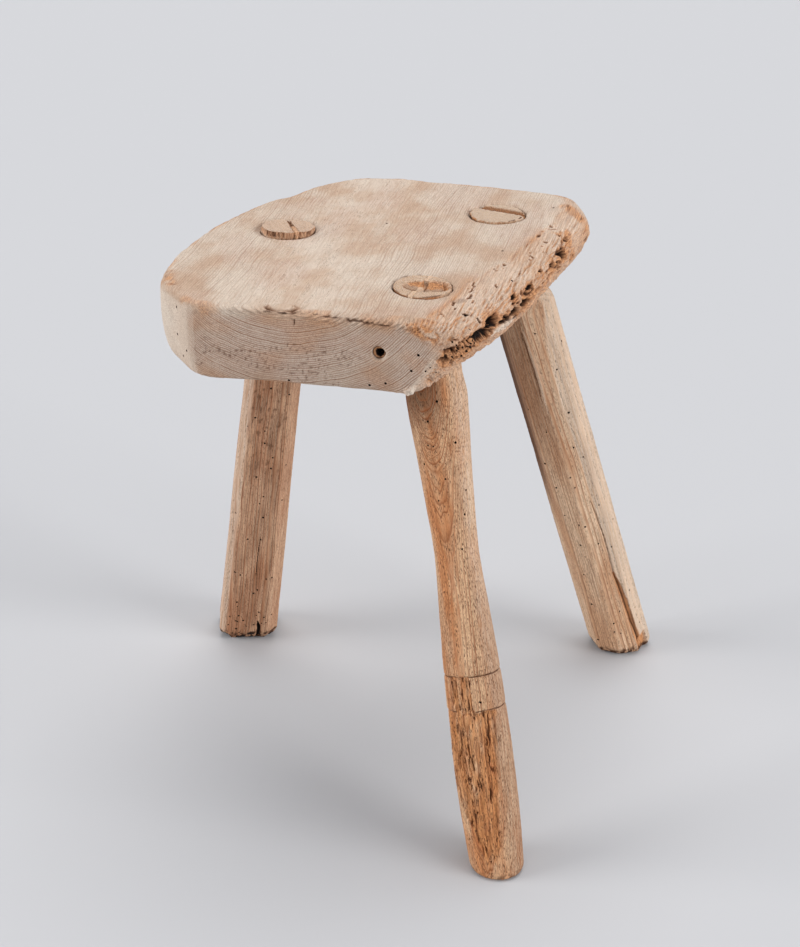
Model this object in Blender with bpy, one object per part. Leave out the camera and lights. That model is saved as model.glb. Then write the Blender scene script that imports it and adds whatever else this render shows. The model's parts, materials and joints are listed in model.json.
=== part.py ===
"""A rustic three-legged stool: a thick slab seat on three legs of different make.

The slab is split from a log, with its sawn end grain at the front and the log's natural edge on
the right. Each leg ends in a round tenon that passes through a slanted hole in the slab and is
spread from above by a wedge. Two legs are shaved to eight sides, and the front one is a turned
spindle put to a second use. A peg plugs an old hole in the front end grain.

Units are metres. +Z is up, +Y runs along the seat's grain away from the front, and +X is right.
The origin is on the floor, below the middle of the whole stool.
"""
from math import atan2, cos, hypot, pi, sin, sqrt, tau

import bmesh
import bpy
from mathutils import Matrix, Vector

SEAT_TOP = 0.380
SEAT_THICKNESS = 0.051
SEAT_UNDERSIDE = SEAT_TOP - SEAT_THICKNESS
WIDEST_HEIGHT = 0.361            # the slab bulges out to its widest line here
GAP = 0.0003                     # clearance between pieces that touch

TENON_RADIUS = 0.01925
HOLE_RADIUS = TENON_RADIUS + GAP
SHOULDER_DROP = 0.0075           # a tenon widens into its leg this far below the seat
SHOULDER_LENGTH = 0.012
FLOOR_ALLOWANCE = 0.020          # the legs are made this much too long, then cut at the floor

PEG_CENTRE = (0.0148, 0.3568)    # along the front face and above the floor
PEG_RADIUS = 0.0044
PEG_LENGTH = 0.020
PEG_SETBACK = 0.0006
PEG_ROT_RADIUS = 0.0027          # the decayed hollow in the peg's outer end
PEG_ROT_DEPTH = 0.009
PEG_ROT_OFFSET = 0.0009
FRONT_FACE = -0.1415             # the sawn end grain lies near this distance from the middle

WEDGE_DEPTH = 0.030
WEDGE_TIP = 0.45                 # thickness at the tip, as a share of the top's

# The slab seen from above, anticlockwise from its front left corner. Each station has the top
# edge, the widest line, the bottom edge, and how full the slab is below its widest line: 1 is a
# straight slant, as on the natural edge, and 2 is round.
SEAT_STATIONS = (
    ((-0.1065, -0.1400), (-0.1080, -0.1410), (-0.1050, -0.1400), 2.0),
    ((-0.0600, -0.1405), (-0.0600, -0.1418), (-0.0600, -0.1400), 2.0),
    ((0.0000, -0.1420), (0.0000, -0.1430), (0.0000, -0.1395), 2.0),
    ((0.0390, -0.1420), (0.0590, -0.1425), (0.0350, -0.1385), 1.1),
    ((0.0455, -0.1350), (0.0665, -0.1370), (0.0400, -0.1340), 1.1),
    ((0.0560, -0.1080), (0.0800, -0.1080), (0.0490, -0.1060), 1.1),
    ((0.0720, -0.0700), (0.0945, -0.0680), (0.0620, -0.0680), 1.1),
    ((0.0860, -0.0330), (0.1020, -0.0320), (0.0730, -0.0340), 1.1),
    ((0.0970, 0.0060), (0.1070, 0.0060), (0.0795, 0.0040), 1.1),
    ((0.1010, 0.0500), (0.1145, 0.0460), (0.0865, 0.0440), 1.1),
    ((0.1040, 0.0840), (0.1190, 0.0820), (0.0930, 0.0780), 1.2),
    ((0.1000, 0.1100), (0.1140, 0.1125), (0.0950, 0.1040), 1.5),
    ((0.0790, 0.1265), (0.0840, 0.1290), (0.0740, 0.1200), 2.0),
    ((0.0400, 0.1325), (0.0400, 0.1340), (0.0400, 0.1310), 2.0),
    ((0.0000, 0.1365), (0.0000, 0.1380), (0.0000, 0.1340), 2.0),
    ((-0.0400, 0.1375), (-0.0400, 0.1390), (-0.0380, 0.1330), 2.0),
    ((-0.0720, 0.1265), (-0.0735, 0.1280), (-0.0670, 0.1200), 2.0),
    ((-0.0920, 0.1020), (-0.0935, 0.1030), (-0.0850, 0.0980), 2.0),
    ((-0.1010, 0.0830), (-0.1025, 0.0830), (-0.0930, 0.0790), 2.0),
    ((-0.1120, 0.0710), (-0.1135, 0.0720), (-0.1020, 0.0660), 2.0),
    ((-0.1260, 0.0400), (-0.1275, 0.0400), (-0.1140, 0.0360), 2.0),
    ((-0.1400, -0.0080), (-0.1415, -0.0080), (-0.1270, -0.0090), 2.0),
    ((-0.1450, -0.0600), (-0.1465, -0.0600), (-0.1330, -0.0600), 2.0),
    ((-0.1435, -0.0930), (-0.1450, -0.0930), (-0.1330, -0.0940), 2.0),
    ((-0.1385, -0.1095), (-0.1400, -0.1105), (-0.1310, -0.1080), 2.0),
    ((-0.1255, -0.1245), (-0.1265, -0.1255), (-0.1215, -0.1225), 2.0),
)
SEAT_STEPS = 4                   # edges between one station and the next
LOWER_LEVELS = 6                 # rings from the bottom edge up to the widest line
UPPER_LEVELS = 4                 # rings from the widest line up to the top edge

# Each leg: the middle of its tenon at the seat's top and of its foot on the floor, seen from
# above. The tenon stands proud of the seat by so much, and its end rises so steeply to the front.
LEGS = {
    "front": {"top": (0.0302, -0.0803), "foot": (0.1058, -0.1838), "proud": 0.0, "rise": 0.0},
    "rear_left": {"top": (-0.0844, 0.0091), "foot": (-0.1508, 0.0915), "proud": 0.0025,
                  "rise": 0.114},
    "rear_right": {"top": (0.0544, 0.0715), "foot": (0.1558, 0.1300), "proud": 0.0006,
                   "rise": 0.0},
}

# The two shaved legs: half the width across the flats at the foot and below the shoulder, the
# part of each flat that the shaved corners take, and the way that one flat faces.
SHAVED_LEGS = {
    "rear_left": {"foot": 0.0236, "head": 0.0200, "corner": 0.36, "facing": -1.295},
    "rear_right": {"foot": 0.0223, "head": 0.0216, "corner": 0.55, "facing": -1.05},
}

# The turned leg: height above the floor along its axis, and radius.
SPINDLE = (
    (-0.020, 0.0172), (0.006, 0.0186), (0.030, 0.0199), (0.060, 0.0208), (0.100, 0.0203),
    (0.140, 0.0188), (0.180, 0.0165), (0.210, 0.0149), (0.240, 0.0161), (0.275, 0.0180),
    (0.300, 0.0200), (0.312, 0.0209),
)
SCORED_RINGS = (0.1085, 0.1320)  # heights of the two lines that the turner scored
SCORE_DEPTH = 0.0010
SCORE_HALF_WIDTH = 0.0012
SPINDLE_SIDES = 32
SPINDLE_STEPS = 2

# Each wedge: which way it runs seen from above, its thickness, how far it lies from the tenon's
# middle, and how far its top lies below the seat's.
WEDGES = {
    "front": {"along": 1.40, "thickness": 0.0032, "aside": 0.0015, "sunk": 0.0012},
    "rear_left": {"along": 2.00, "thickness": 0.0026, "aside": -0.0028, "sunk": -0.0012},
    "rear_right": {"along": -0.29, "thickness": 0.0046, "aside": 0.0062, "sunk": 0.0016},
}
TORN_HOLLOW = {"length": 0.027, "width": 0.019, "depth": 0.0055}   # in the front tenon's end

PALE_WOOD = (0.62, 0.48, 0.37)
WARM_WOOD = (0.50, 0.31, 0.18)
DARK_WOOD = (0.36, 0.22, 0.13)


def clear_scene():
    for old in list(bpy.data.objects):
        bpy.data.objects.remove(old, do_unlink=True)


def wood(name, colour):
    """A matt, weathered wood finish."""
    material = bpy.data.materials.new(name)
    material.use_nodes = True
    shader = material.node_tree.nodes["Principled BSDF"]
    shader.inputs["Base Color"].default_value = (*colour, 1.0)
    shader.inputs["Roughness"].default_value = 0.85
    shader.inputs["Metallic"].default_value = 0.0
    return material


def smooth_path(points, steps, closed):
    """A centripetal Catmull-Rom curve through points of any dimension, as a list of tuples."""
    count = len(points)
    spans = count if closed else count - 1
    path = []
    for span in range(spans):
        if closed:
            window = [points[(span + shift) % count] for shift in (-1, 0, 1, 2)]
        else:
            window = [points[min(max(span + shift, 0), count - 1)] for shift in (-1, 0, 1, 2)]
        knots = [0.0]
        for first, second in zip(window, window[1:]):
            knots.append(knots[-1] + max(sqrt(hypot(*(b - a for a, b in zip(first, second)))), 1e-4))
        for step in range(steps):
            t = knots[1] + (knots[2] - knots[1]) * step / steps
            path.append(curve_point(window, knots, t))
    if not closed:
        path.append(tuple(points[-1]))
    return path


def curve_point(window, knots, t):
    """The point at knot value t of the curve whose four control points are in the window."""
    level = [tuple(point) for point in window]
    for reach in (1, 2, 3):
        blended = []
        for index in range(len(level) - 1):
            if reach == 3:
                low, high = knots[1], knots[2]
            else:
                low, high = knots[index], knots[index + reach]
            share = (t - low) / (high - low)
            pair = zip(level[index], level[index + 1])
            blended.append(tuple(a + (b - a) * share for a, b in pair))
        level = blended
    return level[0]


def new_object(name, shape, material, sharp_angle=0.6):
    """Turn a bmesh into a named object with one material, shaded smooth where it is round."""
    bmesh.ops.recalc_face_normals(shape, faces=shape.faces)
    mesh = bpy.data.meshes.new(name)
    shape.to_mesh(mesh)
    shape.free()
    mesh.shade_smooth()
    mesh.set_sharp_from_angle(angle=sharp_angle)
    made = bpy.data.objects.new(name, mesh)
    bpy.context.scene.collection.objects.link(made)
    if material is not None:
        mesh.materials.append(material)
    return made


def loft(rings):
    """A closed bmesh skinned over rings of equally many points, with flat ends."""
    shape = bmesh.new()
    rows = [[shape.verts.new(point) for point in ring] for ring in rings]
    count = len(rows[0])
    for lower, upper in zip(rows, rows[1:]):
        for index in range(count):
            after = (index + 1) % count
            shape.faces.new((lower[index], lower[after], upper[after], upper[index]))
    shape.faces.new(rows[0])
    shape.faces.new(rows[-1])
    return shape


def cut_flat(shape, place, normal):
    """Cut off what lies beyond a plane and close the cut."""
    geometry = shape.verts[:] + shape.edges[:] + shape.faces[:]
    result = bmesh.ops.bisect_plane(
        shape, geom=geometry, dist=1e-7, plane_co=place, plane_no=normal, clear_outer=True)
    rim = [item for item in result["geom_cut"] if isinstance(item, bmesh.types.BMEdge)]
    bmesh.ops.contextual_create(shape, geom=rim)


def cutter(name, shape):
    """A guide object that cuts others and isn't part of the stool."""
    made = new_object(name, shape, None)
    made.hide_render = True
    made.display_type = "WIRE"
    return made


def cut(target, tool, operation="DIFFERENCE"):
    modifier = target.modifiers.new(tool.name, "BOOLEAN")
    modifier.object = tool
    modifier.operation = operation
    modifier.solver = "EXACT"


def leg_frame(spec):
    """The matrix whose origin is a tenon's middle at the seat's top and whose Z runs up the leg."""
    top = Vector((*spec["top"], SEAT_TOP))
    foot = Vector((*spec["foot"], 0.0))
    up = (top - foot).normalized()
    right = Vector((0.0, 1.0, 0.0)).cross(up).normalized()
    back = up.cross(right)
    turn = Matrix((right, back, up)).transposed().to_4x4()
    return Matrix.Translation(top) @ turn


def up_the_leg(spec, height):
    """How far below the seat's top, along the leg, its axis is at a height above the floor."""
    reach = hypot(*(a - b for a, b in zip(spec["top"], spec["foot"])))
    return (height - SEAT_TOP) * hypot(reach, SEAT_TOP) / SEAT_TOP


def ring(radii, angles, height):
    return [(r * cos(a), r * sin(a), height) for r, a in zip(radii, angles)]


def seat_shape():
    """The slab: one smooth outline at each height, from the bottom edge to the top edge."""
    stations = [(*top, *widest, *bottom, full) for top, widest, bottom, full in SEAT_STATIONS]
    outline = smooth_path(stations, SEAT_STEPS, closed=True)
    rings = []
    for level in range(LOWER_LEVELS + 1):
        share = 1.0 - cos(level / LOWER_LEVELS * pi / 2)
        height = SEAT_UNDERSIDE + (WIDEST_HEIGHT - SEAT_UNDERSIDE) * share
        points = []
        for _, _, x1, y1, x0, y0, full in outline:
            out = (1.0 - (1.0 - share) ** full) ** (1.0 / full)
            points.append((x0 + (x1 - x0) * out, y0 + (y1 - y0) * out, height))
        rings.append(points)
    for level in range(1, UPPER_LEVELS + 1):
        angle = level / UPPER_LEVELS * pi / 2
        height = WIDEST_HEIGHT + (SEAT_TOP - WIDEST_HEIGHT) * sin(angle)
        out = cos(angle)
        rings.append([(x0 + (x1 - x0) * out, y0 + (y1 - y0) * out, height)
                      for x0, y0, x1, y1, _, _, _ in outline])
    return loft(rings)


def cylinder(radius, low, high, sides=48):
    """A closed bmesh cylinder about the Z axis."""
    angles = [tau * index / sides for index in range(sides)]
    return loft([ring([radius] * sides, angles, height) for height in (low, high)])


def make_seat(material):
    seat = new_object("seat", seat_shape(), material)
    for name, spec in LEGS.items():
        hole = cutter(f"hole_{name}", cylinder(HOLE_RADIUS, -0.080, 0.030))
        hole.matrix_world = leg_frame(spec)
        cut(seat, hole)
    bore = cutter("hole_peg", cylinder(PEG_RADIUS + GAP, -0.030, PEG_LENGTH + GAP, sides=24))
    bore.matrix_world = peg_frame()
    cut(seat, bore)
    return seat


def shaved_leg(spec, section):
    """A leg shaved to eight sides, which turn round where it becomes the tenon."""
    corner = section["corner"]
    slope = atan2(1.0 - corner, 1.0)
    angles = []
    for quarter in range(4):
        start = quarter * pi / 2
        angles += [start, start + slope, start + pi / 4, start + pi / 2 - slope]
    flat = [min(1.0 / max(abs(cos(a)), abs(sin(a))),
                (2.0 - corner) / (abs(cos(a)) + abs(sin(a)))) for a in angles]
    faced = [a + section["facing"] for a in angles]
    below = up_the_leg(spec, 0.0) - FLOOR_ALLOWANCE
    shoulder = up_the_leg(spec, SEAT_UNDERSIDE - SHOULDER_DROP)
    rings = []
    for share in (0.0, 0.25, 0.5, 0.75, 1.0):
        half = section["foot"] + (section["head"] - section["foot"]) * share
        height = below + (shoulder - SHOULDER_LENGTH - below) * share
        rings.append(ring([half * f for f in flat], faced, height))
    rings.append(ring([TENON_RADIUS] * len(faced), faced, shoulder))
    rings.append(ring([TENON_RADIUS] * len(faced), faced, 0.015))
    return loft(rings)


def spindle_radius(height, profile):
    """The turned leg's radius at a height, with the scored lines taken off."""
    for (low, first), (high, second) in zip(profile, profile[1:]):
        if height <= high:
            radius = first + (second - first) * (height - low) / (high - low)
            break
    else:
        radius = profile[-1][1]
    for line in SCORED_RINGS:
        radius -= SCORE_DEPTH * max(0.0, 1.0 - abs(height - line) / SCORE_HALF_WIDTH)
    return radius


def turned_leg(spec):
    """The spindle: a tapered foot, two scored lines, a slim waist and a swelling below the seat."""
    profile = smooth_path(SPINDLE, SPINDLE_STEPS, closed=False)
    heights = {round(height, 5) for height, _ in profile}
    for line in SCORED_RINGS:
        heights |= {round(line + shift * SCORE_HALF_WIDTH, 5) for shift in (-1, 0, 1)}
    angles = [tau * index / SPINDLE_SIDES for index in range(SPINDLE_SIDES)]
    rings = []
    for height in sorted(heights):
        radius = spindle_radius(height, profile)
        rings.append(ring([radius] * SPINDLE_SIDES, angles, up_the_leg(spec, height)))
    shoulder = up_the_leg(spec, SEAT_UNDERSIDE - SHOULDER_DROP)
    for height in (shoulder, 0.015):
        rings.append(ring([TENON_RADIUS] * SPINDLE_SIDES, angles, height))
    return loft(rings)


def wedge_shape(spec, wedge, gap):
    """A tapered wedge in its leg's frame, or with a gap the slot that takes it."""
    half = wedge["thickness"] / 2 + gap
    tip = wedge["thickness"] * WEDGE_TIP / 2 + gap
    reach = TENON_RADIUS + (0.010 if gap else 0.0)
    rings = []
    for height, side in ((-WEDGE_DEPTH - gap, tip), (0.015, half)):
        rings.append([(reach, side, height), (-reach, side, height),
                      (-reach, -side, height), (reach, -side, height)])
    shape = loft(rings)
    spot = Matrix.Rotation(wedge["along"], 4, "Z") @ Matrix.Translation((0.0, wedge["aside"], 0.0))
    shape.transform(spot)
    return shape


def make_leg(name, material):
    """One leg, cut level at the floor, cut off at its tenon's end and slotted for its wedge."""
    spec = LEGS[name]
    frame = leg_frame(spec)
    to_leg = frame.inverted()
    if name in SHAVED_LEGS:
        shape = shaved_leg(spec, SHAVED_LEGS[name])
    else:
        shape = turned_leg(spec)
    down = to_leg.to_3x3() @ Vector((0.0, 0.0, -1.0))
    end = to_leg.to_3x3() @ Vector((0.0, spec["rise"], 1.0)).normalized()
    cut_flat(shape, to_leg @ Vector((*spec["foot"], 0.0)), down)
    cut_flat(shape, to_leg @ Vector((*spec["top"], SEAT_TOP + spec["proud"])), end)
    leg = new_object(f"leg_{name}", shape, material)
    leg.matrix_world = frame
    slot = cutter(f"slot_{name}", wedge_shape(spec, WEDGES[name], GAP))
    slot.matrix_world = frame
    cut(leg, slot)
    return leg


def make_hollow():
    """The torn-out middle of the front tenon's end, as a flattened ball that cuts it."""
    shape = bmesh.new()
    bmesh.ops.create_uvsphere(shape, u_segments=24, v_segments=12, radius=1.0)
    shape.transform(Matrix.Diagonal((
        TORN_HOLLOW["length"] / 2, TORN_HOLLOW["width"] / 2, TORN_HOLLOW["depth"], 1.0)))
    hollow = cutter("torn_hollow", shape)
    hollow.location = (*LEGS["front"]["top"], SEAT_TOP)
    return hollow


def make_wedge(name, material):
    """One wedge, rounded at its ends to the tenon and cut off near the seat's top."""
    spec = LEGS[name]
    wedge = WEDGES[name]
    frame = leg_frame(spec)
    to_leg = frame.inverted()
    shape = wedge_shape(spec, wedge, 0.0)
    end = to_leg.to_3x3() @ Vector((0.0, spec["rise"], 1.0)).normalized()
    cut_flat(shape, to_leg @ Vector((*spec["top"], SEAT_TOP - wedge["sunk"])), end)
    made = new_object(f"wedge_{name}", shape, material)
    made.matrix_world = frame
    round_end = cutter(f"round_{name}", cylinder(TENON_RADIUS - GAP, -0.080, 0.030))
    round_end.matrix_world = frame
    cut(made, round_end, "INTERSECT")
    return made


def peg_frame():
    """The matrix whose origin is in the front face and whose Z runs into the slab."""
    along, height = PEG_CENTRE
    return Matrix.Translation((along, FRONT_FACE, height)) @ Matrix.Rotation(-pi / 2, 4, "X")


def make_peg(material):
    """The peg in the front end grain, with its decayed end."""
    peg = new_object("peg", cylinder(PEG_RADIUS, PEG_SETBACK, PEG_LENGTH, sides=24), material)
    peg.matrix_world = peg_frame()
    rot = cutter("peg_rot", cylinder(PEG_ROT_RADIUS, -0.010, PEG_ROT_DEPTH, sides=12))
    rot.matrix_world = peg_frame() @ Matrix.Translation((PEG_ROT_OFFSET, 0.0, 0.0))
    cut(peg, rot)
    return peg


def centre_on_floor(objects):
    """Hang every object on an empty that puts the origin below the middle of the stool."""
    bpy.context.view_layer.update()
    depsgraph = bpy.context.evaluated_depsgraph_get()
    corners = []
    for item in objects:
        solid = item.evaluated_get(depsgraph)
        corners += [item.matrix_world @ vertex.co for vertex in solid.data.vertices]
    middle = [(min(c[axis] for c in corners) + max(c[axis] for c in corners)) / 2 for axis in (0, 1)]
    root = bpy.data.objects.new("stool", None)
    bpy.context.scene.collection.objects.link(root)
    for item in list(bpy.context.scene.objects):
        if item is not root:
            item.parent = root
    root.location = (-middle[0], -middle[1], 0.0)
    bpy.context.view_layer.update()


def build():
    clear_scene()
    pale = wood("pale_wood", PALE_WOOD)
    warm = wood("warm_wood", WARM_WOOD)
    dark = wood("dark_wood", DARK_WOOD)
    pieces = [make_seat(pale), make_peg(dark)]
    for name in LEGS:
        pieces.append(make_leg(name, warm))
        pieces.append(make_wedge(name, dark))
    leg_front = bpy.data.objects["leg_front"]
    cut(leg_front, make_hollow())
    centre_on_floor(pieces)


build()
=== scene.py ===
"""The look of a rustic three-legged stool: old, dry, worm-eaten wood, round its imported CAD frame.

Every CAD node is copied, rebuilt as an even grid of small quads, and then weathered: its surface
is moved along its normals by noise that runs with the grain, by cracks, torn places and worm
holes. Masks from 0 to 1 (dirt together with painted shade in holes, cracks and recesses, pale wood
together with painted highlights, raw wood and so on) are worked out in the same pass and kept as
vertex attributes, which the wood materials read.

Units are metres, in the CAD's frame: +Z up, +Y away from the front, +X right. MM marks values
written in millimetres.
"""
import json
from math import cos, radians, sin

import bmesh
import bpy
import numpy as np
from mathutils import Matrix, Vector
from mathutils.kdtree import KDTree


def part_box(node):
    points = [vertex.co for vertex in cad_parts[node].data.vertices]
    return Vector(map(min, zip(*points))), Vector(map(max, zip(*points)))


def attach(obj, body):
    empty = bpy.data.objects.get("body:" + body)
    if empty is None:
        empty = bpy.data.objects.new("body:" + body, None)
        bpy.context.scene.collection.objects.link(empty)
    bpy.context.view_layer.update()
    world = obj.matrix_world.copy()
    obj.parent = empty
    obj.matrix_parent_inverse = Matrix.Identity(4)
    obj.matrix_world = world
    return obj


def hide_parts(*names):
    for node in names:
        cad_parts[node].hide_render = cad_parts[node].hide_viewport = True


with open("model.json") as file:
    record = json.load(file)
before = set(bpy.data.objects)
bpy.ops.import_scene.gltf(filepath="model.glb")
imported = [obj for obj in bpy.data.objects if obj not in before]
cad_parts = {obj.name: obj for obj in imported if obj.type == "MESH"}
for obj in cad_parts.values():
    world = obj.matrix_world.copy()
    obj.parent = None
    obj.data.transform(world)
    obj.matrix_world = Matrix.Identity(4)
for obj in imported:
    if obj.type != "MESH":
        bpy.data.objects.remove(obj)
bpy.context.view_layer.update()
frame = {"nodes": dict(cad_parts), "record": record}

MM = 0.001
SEAT_TOP = max(corner.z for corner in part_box("seat"))
UNDERSIDE = min(corner.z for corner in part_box("seat"))
MASKS = ("dirt", "raw", "pale", "stain", "grey")
# Distances from a leg's axis: the edge of its bore in the seat, what counts as the bore's wall,
# where the seat's grid stays coarse, and where the seat's outline isn't picked out.
BORE_EDGE = 19.7 * MM
BORE_WALL = 20.6 * MM
BORE_GRID = 21 * MM
BORE_RIM = 27 * MM

# ---- noise

DICE = np.random.default_rng(11)
SHUFFLE = DICE.permutation(256)
SLOPES = DICE.normal(size=(256, 3))
SLOPES /= np.linalg.norm(SLOPES, axis=1)[:, None]


def noise(points, size, seed):
    """Smooth noise from about -1 to 1, in blobs of a size in millimetres.

    The size is one number, two for across and along the grain's Y, or three for X, Y and Z.
    """
    size = np.ravel(size)[[0, 1, 0]] if np.size(size) == 2 else np.ravel(size)
    places = points / (size * MM)
    cell = np.floor(places).astype(int)
    inside = places - cell
    ease = inside ** 3 * (inside * (inside * 6 - 15) + 10)
    total = np.zeros(len(points))
    for corner in np.ndindex(2, 2, 2):
        spot = cell + corner
        pick = SHUFFLE[(spot[:, 0] + seed) % 256]
        pick = SHUFFLE[(pick + spot[:, 1]) % 256]
        pick = SHUFFLE[(pick + spot[:, 2]) % 256]
        share = np.where(np.array(corner) == 1, ease, 1 - ease).prod(axis=1)
        total += share * np.einsum("ij,ij->i", SLOPES[pick], inside - corner)
    return total * 1.7


def ridges(points, size, seed):
    """Noise with sharp crests, from 0 in the valleys to 1 on the crests."""
    return 1.0 - np.abs(noise(points, size, seed))


def step(low, high, values):
    """0 below low, 1 above high and a smooth rise between them."""
    share = np.clip((values - low) / (high - low), 0, 1)
    return share * share * (3 - 2 * share)


def fall(low, high, values):
    """1 below low, 0 above high and a smooth fall between them."""
    return 1 - step(low, high, values)


def patches(low, high, points, size, seed):
    """1 where noise lies above high, 0 where it lies below low, and soft edges between them."""
    return step(low, high, noise(points, size, seed))


def most(*values):
    """The largest of several values at each point."""
    return np.maximum.reduce(values)


# ---- meshes

def link(thing):
    bpy.context.scene.collection.objects.link(thing)


def fine_copy(node, name, voxel):
    """A copy of a CAD node, rebuilt as an even grid of quads with rounded edges."""
    piece = bpy.data.objects.new(name, frame["nodes"][node].data.copy())
    link(piece)
    grid = piece.modifiers.new("grid", "REMESH")
    grid.mode = "VOXEL"
    grid.voxel_size = voxel
    graph = bpy.context.evaluated_depsgraph_get()
    mesh = bpy.data.meshes.new_from_object(piece.evaluated_get(graph))
    piece.modifiers.clear()
    piece.data = mesh
    piece.data.materials.clear()
    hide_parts(node)
    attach(piece, "root")
    return piece


def read(items, name, width, kind=float):
    """One property of all of a mesh's items, a row for each."""
    flat = np.zeros(len(items) * width, kind)
    items.foreach_get(name, flat)
    return flat.reshape(-1, width)


def read_points(piece):
    return read(piece.data.vertices, "co", 3)


def write_points(piece, points):
    piece.data.vertices.foreach_set("co", points.ravel())
    piece.data.update()


def read_normals(piece):
    return read(piece.data.vertices, "normal", 3)


def read_edges(piece):
    return read(piece.data.edges, "vertices", 2, int)


def relax(values, edges, rounds):
    """Values at the vertices, each drawn halfway to its neighbours' mean so many times."""
    first, second = edges[:, 0], edges[:, 1]
    count = len(values)
    neighbours = np.bincount(edges.ravel(), minlength=count)
    table = values.reshape(count, -1).copy()
    for _ in range(rounds):
        for column in range(table.shape[1]):
            here = table[:, column]
            total = np.bincount(first, here[second], count) + np.bincount(second, here[first], count)
            table[:, column] = 0.5 * here + 0.5 * total / neighbours
    return table.reshape(values.shape)


def refine(piece, chosen):
    """Split every quad for whose middle chosen(points) is true into four."""
    shape = bmesh.new()
    shape.from_mesh(piece.data)
    middles = np.array([face.calc_center_median() for face in shape.faces])
    wanted = chosen(middles)
    edges = dict.fromkeys(edge for face, want in zip(shape.faces, wanted) if want for edge in face.edges)
    bmesh.ops.subdivide_edges(shape, edges=list(edges), cuts=1, use_grid_fill=True)
    shape.to_mesh(piece.data)
    shape.free()


def raised(points, edges, normals, rounds):
    """How far each point stands out of its relaxed surroundings, along its normal."""
    return np.einsum("ij,ij->i", points - relax(points, edges, rounds), normals)


def keep_masks(piece, grain, masks):
    """Store each point's place in the grain, and its masks, which are 0 where none is given."""
    layer = piece.data.attributes.new("grain", "FLOAT_VECTOR", "POINT")
    layer.data.foreach_set("vector", grain.astype(np.float32).ravel())
    for name in MASKS:
        values = masks.get(name, np.zeros(len(grain)))
        layer = piece.data.attributes.new(name, "FLOAT", "POINT")
        layer.data.foreach_set("value", np.clip(values, 0, 1).astype(np.float32))


def bore_worm_holes(piece, places, radius):
    """Sink a round flight hole at the nearest free grid corner to each place."""
    shape = bmesh.new()
    shape.from_mesh(piece.data)
    shape.verts.ensure_lookup_table()
    dirt = shape.verts.layers.float["dirt"]
    tree = KDTree(len(shape.verts))
    for vertex in shape.verts:
        tree.insert(vertex.co, vertex.index)
    tree.balance()
    taken = set()
    holes = []
    for place, wide in zip(places, radius):
        for _, index, _ in tree.find_n(Vector(place), 12):
            vertex = shape.verts[index]
            around = {corner for face in vertex.link_faces for corner in face.verts}
            quads = all(len(face.verts) == 4 for face in vertex.link_faces)
            if quads and len(vertex.link_faces) == 4 and len(around) == 9 and not around & taken:
                taken |= around
                holes.append((vertex, wide))
                break
    for vertex, wide in holes:
        sink_hole(shape, vertex, wide, dirt)
    shape.to_mesh(piece.data)
    shape.free()


def sink_hole(shape, vertex, wide, dirt):
    """Replace the four quads around a vertex by a round hole with a closed end, its inside painted dark as
    shade.
    """
    centre = vertex.co.copy()
    inward = -vertex.normal.copy()
    rim = []
    loop = vertex.link_loops[0]
    for _ in range(4):
        rim += [loop.link_loop_next.vert, loop.link_loop_next.link_loop_next.vert]
        loop = loop.link_loop_prev.link_loop_radial_next
    for corner in rim:
        offset = corner.co - centre
        sunk = inward * offset.dot(inward)
        corner.co = centre + (offset - sunk).normalized() * wide + sunk
    rows = [rim]
    for depth, share in ((0.4, 0.96), (1.4, 0.90), (3.4, 0.60)):
        row = []
        for corner in rim:
            offset = corner.co - centre
            flat = offset - inward * offset.dot(inward)
            made = shape.verts.new(centre + flat * share + inward * depth * wide, corner)
            # painted shade: the inside of each hole is drawn fully dark
            made[dirt] = 1.0
            row.append(made)
        rows.append(row)
    shape.verts.remove(vertex)
    for outer, inner in zip(rows, rows[1:]):
        for index in range(8):
            after = (index + 1) % 8
            shape.faces.new((outer[index], outer[after], inner[after], inner[index])).smooth = True
    shape.faces.new(rows[-1]).smooth = True


def along_path(points, path):
    """Each point's distance from a line of straight stretches, and how far along it that is, 0 to 1."""
    path = np.array(path, float)
    spans = np.linalg.norm(np.diff(path, axis=0), axis=1)
    nearest = np.full(len(points), np.inf)
    travelled = np.zeros(len(points))
    start = 0.0
    for first, second, span in zip(path, path[1:], spans):
        share = np.clip((points - first) @ (second - first) / span ** 2, 0, 1)
        away = np.linalg.norm(points - first - share[:, None] * (second - first), axis=1)
        closer = away < nearest
        nearest[closer] = away[closer]
        travelled[closer] = (start + share[closer] * span) / spans.sum()
        start += span
    return nearest, travelled


def crack(points, path, half_width, closing=(0.0, 0.0)):
    """How deep a V-shaped crack is at each point, 0 to 1. It narrows to a share at its two ends."""
    away, along = along_path(points, path)
    first, last = closing
    width = first + (1 - first) * step(0.0, 0.25, along)
    width *= last + (1 - last) * step(0.0, 0.25, 1 - along)
    width = np.maximum(width * half_width, 1e-6)
    return np.clip(1.0 - away / width, 0, 1)


# ---- the seat

def near_leg(points, radius):
    """Whether each point is within a radius of any leg's axis."""
    return most(*(leg.distance(points) < radius for leg in LEGS.values()))


def on_bore_wall(points, normals):
    """1 on the walls of the three holes that take the tenons, 0 elsewhere."""
    level = np.abs(points[:, 2, None] - (UNDERSIDE, SEAT_TOP)).min(axis=1) < 0.8 * MM
    return np.where(level & (np.abs(normals[:, 2]) > 0.8), 0.0, near_leg(points, BORE_WALL))


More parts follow.
